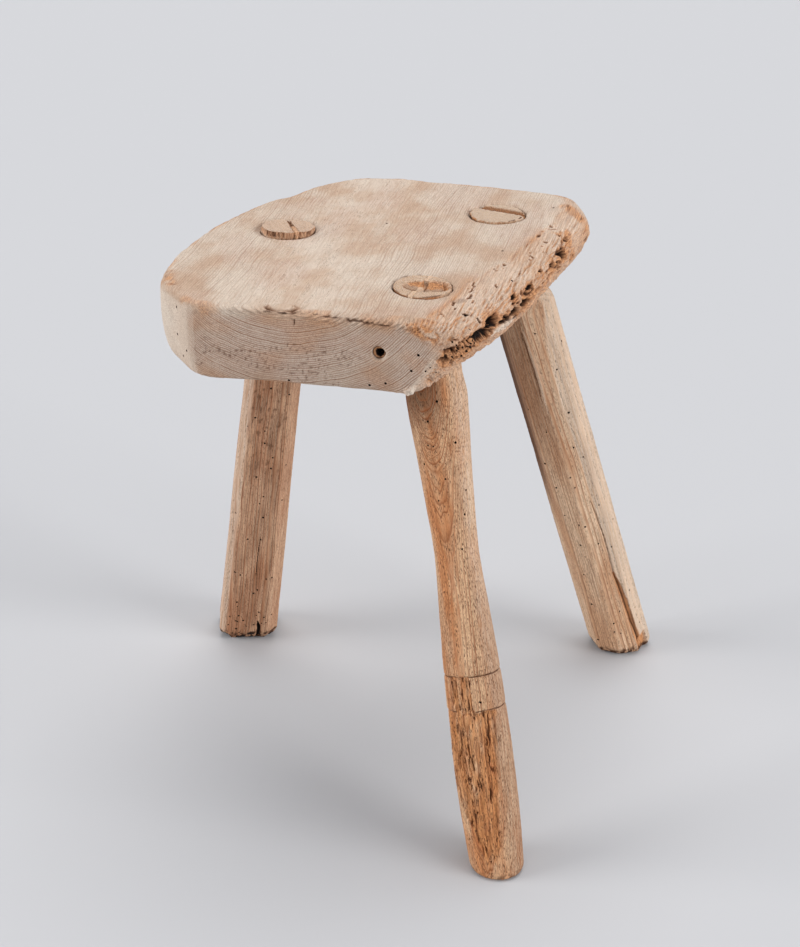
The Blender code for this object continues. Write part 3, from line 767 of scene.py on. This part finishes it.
def make_front_leg():
    leg, piece, points, normals, edges = shaft(
        "leg_front", lambda along, angle: (along > 112) & (along < 143) & (angle > -150) & (angle < 0)
        | (along < 114) & (along > 6) & (angle > -150) & (angle < -28), 36)
    along, angle = leg_spots(leg, points)
    grain = leg.local(points)[:, (0, 2, 1)]
    move = weathered(points, normals, grain, edges, 0.22)
    jag = 5.0 * noise(grain, (3, 9), 51) + 5.0 * noise(grain, (9, 24), 52)
    left = np.interp(along, *ERODED_LEFT)
    right = np.interp(along, *ERODED_RIGHT)
    foot_zone = step(-1.5, 1.5, angle + jag - left) * fall(-5, 3, angle + jag - right)
    foot_zone *= step(6, 10, along) * fall(-0.6, 0.6, along + 0.15 * jag - ERODED_TOP)
    band_zone = step(-1.5, 1.5, angle + jag + 126) * fall(-1.5, 1.5, angle + jag + 82)
    band_zone *= step(-0.6, 0.6, along - ERODED_TOP) * fall(-0.5, 0.5, along - BAND_TOP)
    eroded = most(foot_zone, band_zone)
    torn = ridges(grain, (2.3, 36), 53) ** 2 - 0.5
    waved = grain + 1.6 * MM * noise(grain, (6, 9), 73)[:, None] * np.array((1.0, 0, 1.0))
    crevice = patches(0.22, 0.5, waved, (1.5, 12), 54)
    crevice *= patches(-0.4, 0.1, grain, (6, 26), 55)
    move -= eroded * (1.15 - 1.15 * torn - 0.25 * noise(grain, (1.3, 10), 56) + 1.5 * crevice) * MM
    scored = np.zeros(len(points))
    for line in SCORED_LINES:
        away = np.abs(along + 0.5 * noise(grain, 14, 57) - line)
        scored = most(scored, 1 - np.clip(away / 0.9, 0, 1))
    scored *= 1 - foot_zone
    move -= 0.55 * scored * MM * (1 - eroded)

    # the hollow torn out of the tenon's middle: less deep than in the CAD, and wider on the right
    end, _ = tenon_end_masks(points, normals)
    distance = leg.distance(points)
    z = points[:, 2]
    sunk = (z > SEAT_TOP - 9 * MM) & (z < SEAT_TOP) & (distance < 17 * MM)
    points[:, 2] = z = np.where(sunk, SEAT_TOP - 0.55 * (SEAT_TOP - z), z)
    hollow = (z > SEAT_TOP - 9 * MM) & (z < SEAT_TOP - 0.7 * MM) & (distance < 17 * MM)
    across, deep = (points - leg.top)[:, :2].T + 1.6 * MM * noise(points, (3.4, 3.4, 4), 60)
    oval = np.hypot((across - 8 * MM) / (10.5 * MM), (deep - 1 * MM) / (9.5 * MM))
    torn_side = fall(0.8, 1.1, oval) * (z > SEAT_TOP - 3 * MM)
    hollow = most(relax(hollow.astype(float), edges, 3), torn_side)
    splinters = ridges(points, (1.3, 1.3, 9), 58) + 0.6 * noise(points, (2.5, 2.5, 6), 62)
    in_front = fall(1 * MM, 4 * MM, deep + 0.25 * across)
    floor = fall(1.0 * MM, 5.0 * MM, across)
    move -= (2.2 * torn_side - 1.6 * hollow * (1 - floor) * (splinters - 0.8)) * MM
    # painted shade under the seat, partly a real stain: the top of the leg just below the seat is drawn
    # dark on its front and left
    stain_and_shade_under_seat = step(300, 328, along + 6 * noise(grain, (6, 18), 63)) * fall(-78, -58, angle)
    rim = end * step(17.8 * MM, 18.8 * MM, distance) * patches(0.0, 0.4, points, 6, 59)
    bare = eroded * patches(-0.7, 0.0, grain, (5, 14), 74)
    # painted highlight: the right side of the leg, which faces the right lamp, is drawn pale, more so
    # higher up
    right = step(-60, -30, angle) * (1 - eroded) * (0.45 + 0.55 * step(90, 170, along))
    greyed = step(-62, -35, angle) * fall(150, 260, along) * (1 - end)
    masks = {
        "dirt": most(0.48 * eroded * crevice, 0.6 * step(0.2, 0.8, scored) * (1 - eroded), 0.5 * rim),
        "raw": most(0.85 * bare, hollow * (1 - in_front)),
        "pale": most(0.75 * right, end * (1 - hollow)),
        "stain": most(0.95 * stain_and_shade_under_seat * (1 - end), 0.5 * hollow * in_front),
        "grey": most(0.3 * end * (1 - hollow), hollow * in_front, 0.9 * greyed),
    }
    return finish_leg(piece, leg, points, normals, move, 3.4 * MM, 0.45, masks,
                      leg_holes(leg, FRONT_HOLES, 8, 18.5 * MM), swerve=0.14)


# ---- wedges and peg

def make_small(node, voxel, rough, shaped):
    """A wedge or the peg: a fine copy with torn fibres. shaped() gives its rise, swelling and masks."""
    piece = fine_copy(node, node + "_wood", voxel)
    points = relax(read_points(piece), read_edges(piece), 1)
    write_points(piece, points)
    move = rough * MM * noise(points, (1.6, 1.6, 6), 61)
    rise, swell, masks = shaped(points)
    moved = points + read_normals(piece) * (move + swell)[:, None]
    moved[:, 2] += rise
    write_points(piece, moved)
    keep_masks(piece, points[:, (0, 2, 1)], masks)
    return piece


def front_wedge(points):
    """Level with the rim of the torn tenon, and broken to a sliver in its hollow."""
    leg = LEGS["leg_front"]
    offset = points - leg.top
    near_top = step(SEAT_TOP - 4 * MM, SEAT_TOP - 2 * MM, points[:, 2])
    in_rim = step(9 * MM, 11 * MM, np.abs(offset[:, 1]))
    gone = (1 - in_rim) * step(3 * MM, 5 * MM, np.abs(offset[:, 1] + 2 * MM))
    torn = 0.4 * (1 - in_rim) * noise(points, 2, 64)
    rise = near_top * (1.1 * in_rim - 2.6 * gone + torn) * MM
    swell = 0.5 * MM * near_top * in_rim
    return rise, swell, {"pale": 0.9 + 0 * rise, "raw": 0.6 * (1 - in_rim) * gone}


def rear_left_wedge(points):
    """Level with its proud tenon in front, sunk and dark at the back."""
    offset = points - LEGS["leg_rear_left"].top
    near_top = step(SEAT_TOP - 1.5 * MM, SEAT_TOP + 0.5 * MM, points[:, 2])
    front = fall(-3 * MM, 2 * MM, offset[:, 1])
    masks = {"pale": 0.6 * front, "raw": 0.3 * front, "dirt": 0.45 * (1 - front)}
    return near_top * 1.3 * MM * front, 0.45 * MM * front, masks


def rear_right_wedge(points):
    """Sunk, orange and torn, with a dark line where it meets its tenon."""
    torn = noise(points, (2.2, 2.2, 5), 65)
    return 0.5 * MM * torn, 0 * torn, {"raw": 1.0 + 0 * torn, "dirt": 0.5 * step(0.3, 0.6, -torn)}


def rotten_peg(points):
    """Painted shade in the hollow at its outer end, and dark round it."""
    x, y, z = points.T
    away = np.hypot(x - 13.9 * MM, z - 356.8 * MM) + 0.5 * MM * noise(points, (1.5, 4), 66)
    # painted shade: the hollow in the peg's end is drawn near black
    hollow_shade = fall(2.5 * MM, 3.2 * MM, away)
    rim = step(3.6 * MM, 4.1 * MM, np.hypot(x - 13.25 * MM, z - 356.8 * MM))
    return 0 * x, 0 * x, {"dirt": most(hollow_shade, 0.75 * rim), "raw": 0.9 + 0 * x}


# ---- materials

class Nodes:
    """Short calls that add linked nodes to one material."""

    def __init__(self, name):
        self.material = bpy.data.materials.new(name)
        self.material.use_nodes = True
        self.tree = self.material.node_tree
        self.tree.nodes.clear()

    def add(self, kind, inputs, **settings):
        node = self.tree.nodes.new("ShaderNode" + kind)
        for key, value in settings.items():
            setattr(node, key, value)
        for key, value in inputs.items():
            if isinstance(value, bpy.types.NodeSocket):
                self.tree.links.new(value, node.inputs[key])
            else:
                node.inputs[key].default_value = value
        return node

    def math(self, operation, *values):
        return self.add("Math", dict(enumerate(values)), operation=operation).outputs[0]

    def times(self, first, second):
        return self.math("MULTIPLY", first, second)

    def linear(self, value, slope, start):
        return self.math("MULTIPLY_ADD", value, slope, start)

    def mix(self, share, first, second, mode="MIX"):
        """Colours mixed by a share from 0 to 1."""
        inputs = {0: share, 6: first, 7: second}
        return self.add("Mix", inputs, data_type="RGBA", blend_type=mode).outputs[2]

    def step(self, low, high, value):
        inputs = {"Value": value, "From Min": low, "From Max": high}
        return self.add("MapRange", inputs, interpolation_type="SMOOTHSTEP").outputs[0]

    def fall(self, low, high, value):
        return self.math("SUBTRACT", 1.0, self.step(low, high, value))

    def noise(self, places, size, detail=2.0, roughness=0.5):
        """Noise from 0 to 1 in blobs of a size in millimetres per axis."""
        scaled = self.add("VectorMath", {0: places, 1: [1 / s for s in size]}, operation="MULTIPLY")
        inputs = {"Vector": scaled.outputs[0], "Scale": 1.0, "Detail": detail, "Roughness": roughness}
        return self.add("TexNoise", inputs).outputs["Fac"]

    def line_noise(self, value, scale):
        """Noise from 0 to 1 along one number."""
        inputs = {"W": self.math("MULTIPLY", value, scale), "Scale": 1.0, "Detail": 1.0}
        return self.add("TexNoise", inputs, noise_dimensions="1D").outputs["Fac"]

    def attribute(self, name, output="Fac"):
        return self.add("Attribute", {}, attribute_name=name).outputs[output]


def colour(red, green, blue):
    """A linear colour from the 0 to 255 values of a screen."""
    scaled = [value / 255 for value in (red, green, blue)]
    return [v / 12.92 if v <= 0.04045 else ((v + 0.055) / 1.055) ** 2.4 for v in scaled] + [1.0]


def wood(name, look):
    """Dry wood with growth rings round a pith line, fibres, pores and the vertex masks."""
    def tint(key):
        return colour(*look[key])

    g = Nodes(name + "_grain")
    grain = {0: g.attribute("grain", "Vector"), "Scale": 1 / MM}
    places = g.add("VectorMath", grain, operation="SCALE").outputs[0]
    axes = g.add("SeparateXYZ", {0: places}).outputs
    sway = g.math("SUBTRACT", g.noise(places, look["bend"]), 0.5)
    ripple = g.math("SUBTRACT", g.noise(places, (9, 55, 9)), 0.5)
    pith_x, pith_z, lean_x, lean_z = look["pith"]
    dx = g.math("SUBTRACT", axes[0], g.linear(axes[1], lean_x, pith_x))
    dz = g.math("SUBTRACT", axes[2], g.linear(axes[1], lean_z, pith_z))
    radius = g.math("SQRT", g.math("ADD", g.times(dx, dx), g.times(dz, dz)))
    radius = g.linear(sway, look["sway"], radius)
    radius = g.linear(ripple, look["ripple"], radius)
    year = g.math("DIVIDE", radius, look["ring"])
    year = g.linear(g.line_noise(year, 0.45), look["uneven"], year)
    phase = g.math("FRACT", year)
    late = g.times(g.step(0.35, 0.8, phase), g.fall(0.86, 1.0, phase))
    patchy = g.step(0.25, 0.75, g.line_noise(year, 1.3))
    patchy = g.times(patchy, g.step(0.2, 0.6, g.noise(places, (7, 40, 7))))
    late = g.times(late, g.linear(patchy, look["patchy"], 1 - look["patchy"]))
    thin = g.times(g.step(0.66, 0.86, phase), g.fall(0.9, 1.0, phase))
    thin = g.times(thin, g.step(0.2, 0.65, g.line_noise(year, 0.8)))
    facing = g.add("SeparateXYZ", {0: g.add("NewGeometry", {}).outputs["Normal"]}).outputs
    toward = g.linear(facing[0], dx, g.times(facing[2], dz))
    tangent = g.math("ABSOLUTE", g.math("DIVIDE", toward, radius))
    late = g.times(late, g.math("SUBTRACT", 1.0, g.times(g.step(0.7, 1.0, tangent), look["flat"])))
    fibre = g.noise(places, (0.8, 22, 0.8), 3.0, 0.65)
    streak = g.noise(places, (3.5, 110, 3.5), 2.0)
    blotch = g.noise(places, look["blotch"], 3.0)
    pores = g.step(0.54, 0.64, g.noise(places, (0.34, 2.4, 0.34), 1.0))
    early = g.fall(0.25, 0.6, phase)
    pores = g.times(pores, g.linear(early, 0.7, 0.3))

    tone = g.mix(g.step(0.38, 0.66, blotch), tint("light"), tint("mid"))
    tone = g.mix(g.times(g.attribute("stain"), 0.75), tone, tint("stain"))
    tone = g.mix(g.times(g.step(0.42, 0.72, streak), look["streaks"]), tone, tint("line"))
    # the pale mask: bleached wood, and painted highlights on the sides that face the lamps, drawn in a
    # pale tint
    tone = g.mix(g.times(g.attribute("pale"), 0.88), tone,
                 g.mix(g.step(0.35, 0.75, fibre), tint("bleached_and_highlight"), tint("light")))
    tone = g.mix(g.times(g.attribute("grey"), 0.6), tone,
                 g.mix(g.step(0.3, 0.75, fibre), tint("grey"), tint("stain")))
    shown = g.linear(g.attribute("pale"), -0.75, 1.0)
    strength = g.linear(g.attribute("stain"), look["stained_lines"], look["lines"])
    strength = g.times(strength, shown)
    tone = g.mix(g.times(late, strength), tone, tint("fill"))
    tone = g.mix(g.times(thin, g.times(shown, look["thin"])), tone, tint("line"))
    fibres = g.times(g.step(0.46, 0.7, fibre), g.times(shown, look["fibres"]))
    tone = g.mix(fibres, tone, tint("line"))
    torn = g.mix(g.step(0.35, 0.7, fibre), tint("raw"), tint("raw_dark"))
    tone = g.mix(g.times(g.attribute("raw"), 0.85), tone, torn)
    tone = g.mix(g.times(pores, look["pores"]), tone, tint("pore"))
    # the dark mask: real dirt, and painted shade in holes, cracks and recesses, drawn in dark browns down
    # to near black
    dirt = g.attribute("dirt")
    grime_and_shade = g.mix(g.step(0.45, 0.95, dirt), colour(92, 58, 38), colour(30, 18, 11))
    tone = g.mix(g.step(0.0, 0.7, dirt), tone, grime_and_shade)

    height = g.linear(late, 0.35, g.times(fibre, 0.9))
    height = g.linear(pores, -0.5, height)
    height = g.linear(g.noise(places, (1.6, 1.6, 1.6), 4.0, 0.6), 0.5, height)
    bump = g.add("Bump", {"Strength": look["bump"], "Distance": 0.6 * MM, "Height": height}).outputs[0]
    rough = g.linear(fibre, 0.2, 0.74)
    shader = g.add("BsdfPrincipled", {
        "Base Color": tone, "Roughness": rough, "Normal": bump, "Specular IOR Level": 0.25})
    output = g.add("OutputMaterial", {"Surface": shader.outputs[0]})
    output.is_active_output = True
    return g.material


# A look's pith is its x and z and how it leans; its ring, bend and blotch are millimetres; its
# colours are a screen's 0 to 255; and the rest are strengths.
SEAT_LOOK = {
    "pith": (*PITH, 0.02, 0.0), "ring": 1.35, "sway": 9.0, "bend": (55, 85, 55), "ripple": 1.0,
    "uneven": 0.8, "light": (209, 193, 176), "mid": (192, 165, 142), "line": (150, 110, 84),
    "bleached_and_highlight": (229, 215, 199), "fill": (134, 98, 74), "raw": (210, 148, 94), "raw_dark": (130, 76, 42),
    "grey": (204, 184, 168), "stain": (188, 159, 141), "pore": (66, 42, 28), "thin": 0.0, "flat": 0.6,
    "lines": 0.5, "stained_lines": 1.9, "patchy": 0.6, "blotch": (34, 50, 34), "streaks": 0.12,
    "fibres": 0.3, "pores": 0.3, "bump": 0.8,
}
LEG_LOOK = {
    **SEAT_LOOK, "ring": 1.3, "sway": 2.0, "bend": (45, 150, 45), "ripple": 1.2, "uneven": 1.2,
    "light": (232, 194, 156), "mid": (214, 150, 98), "line": (112, 62, 34), "bleached_and_highlight": (214, 194, 174),
    "fill": (186, 118, 70), "raw": (216, 150, 94), "grey": (196, 178, 158), "stain": (116, 80, 56),
    "pore": (88, 54, 34), "thin": 0.75, "flat": 0.0, "lines": 0.7, "stained_lines": 0.2,
    "blotch": (13, 70, 13), "streaks": 0.3, "fibres": 0.45, "pores": 0.6, "bump": 1.0,
}
LOOKS = {
    "seat_wood": SEAT_LOOK,
    "leg_front_wood": {**LEG_LOOK, "pith": (-8, -66, 0.0, 0.06), "ring": 1.2, "sway": 0.8, "ripple": 3.2,
                       "line": (128, 70, 36), "fill": (168, 98, 56), "grey": (178, 149, 123), "pores": 1.0,
                       "light": (220, 181, 143), "mid": (201, 138, 91), "lines": 0.56, "patchy": 0.95},
    "leg_rear_left_wood": {**LEG_LOOK, "pith": (30, 25, 0.01, 0.0), "ring": 1.5, "lines": 0.4,
                           "streaks": 0.2, "ripple": 2.4, "light": (208, 168, 136),
                           "mid": (184, 136, 104), "grey": (158, 134, 112)},
    "leg_rear_right_wood": {**LEG_LOOK, "pith": (-40, 20, 0.0, 0.01), "ring": 1.6,
                            "light": (232, 200, 168), "mid": (214, 170, 134), "fill": (182, 130, 92),
                            "thin": 0.4, "streaks": 0.15, "bleached_and_highlight": (202, 183, 165)},
    "wedge_wood": {**LEG_LOOK, "pith": (60, 500, 0.0, 0.0)},
    "peg_wood": {**SEAT_LOOK, "pith": (13, 357, 0.0, 0.0), "ring": 0.9},
}


FINISHES = {}


def dress(piece, look):
    if look not in FINISHES:
        FINISHES[look] = wood(look, LOOKS[look])
    piece.data.materials.append(FINISHES[look])


# ---- stage, lights and camera

def plain(name, tone, roughness):
    g = Nodes(name)
    shader = g.add("BsdfPrincipled", {"Base Color": (*tone, 1.0), "Roughness": roughness})
    g.add("OutputMaterial", {"Surface": shader.outputs[0]})
    return g.material


def make_floor():
    shape = bmesh.new()
    bmesh.ops.create_grid(shape, x_segments=8, y_segments=8, size=30.0)
    mesh = bpy.data.meshes.new("floor")
    shape.to_mesh(mesh)
    shape.free()
    floor = bpy.data.objects.new("floor", mesh)
    link(floor)
    mesh.materials.append(plain("floor_paper", (0.5, 0.5, 0.51), 0.9))


def soft_light(name, place, spread, strength):
    """Soft light that is as strong everywhere, from the direction of a place, as wide as an angle."""
    light = bpy.data.lights.new(name, "SUN")
    light.energy = strength
    light.angle = radians(spread)
    lamp = bpy.data.objects.new(name, light)
    lamp.location = place
    lamp.rotation_euler = (Vector((0.0, 0.0, 0.22)) - Vector(place)).to_track_quat("-Z", "Y").to_euler()
    link(lamp)


def make_lights():
    bpy.context.scene.view_settings.view_transform = "Standard"
    soft_light("left_light", (-1.5, -0.5, 0.75), 36, 2.25)
    soft_light("right_light", (1.5, -0.4, 0.75), 36, 2.3)
    soft_light("top_light", (0.0, 0.5, 1.9), 44, 1.5)
    world = bpy.data.worlds.new("studio")
    world.use_nodes = True
    background = world.node_tree.nodes["Background"]
    background.inputs[0].default_value = (0.9, 0.93, 1.0, 1.0)
    background.inputs[1].default_value = 0.45
    bpy.context.scene.world = world


CAMERA_PLACE = (0.26985, -1.26030, 0.85240)
CAMERA_HEADING = (-0.208, 0.978)
CAMERA_DOWN = 26.40  # degrees below the horizon
CAMERA_LENS = 76.0


def make_camera():
    data = bpy.data.cameras.new("camera")
    data.lens = CAMERA_LENS
    camera = bpy.data.objects.new("camera", data)
    down = radians(CAMERA_DOWN)
    aim = Vector((CAMERA_HEADING[0] * cos(down), CAMERA_HEADING[1] * cos(down), -sin(down)))
    camera.location = CAMERA_PLACE
    camera.rotation_euler = aim.to_track_quat("-Z", "Y").to_euler()
    link(camera)
    bpy.context.scene.camera = camera


# ---- the stool

make_camera()
make_lights()
make_floor()
dress(make_seat(), "seat_wood")
dress(make_front_leg(), "leg_front_wood")
dress(make_rear_left_leg(), "leg_rear_left_wood")
dress(make_rear_right_leg(), "leg_rear_right_wood")
for side, rough, shaped in (("front", 0.3, front_wedge), ("rear_left", 0.2, rear_left_wedge),
                            ("rear_right", 0.4, rear_right_wedge)):
    dress(make_small("wedge_" + side, 0.5 * MM, rough, shaped), "wedge_wood")
dress(make_small("peg", 0.35 * MM, 0.2, rotten_peg), "peg_wood")
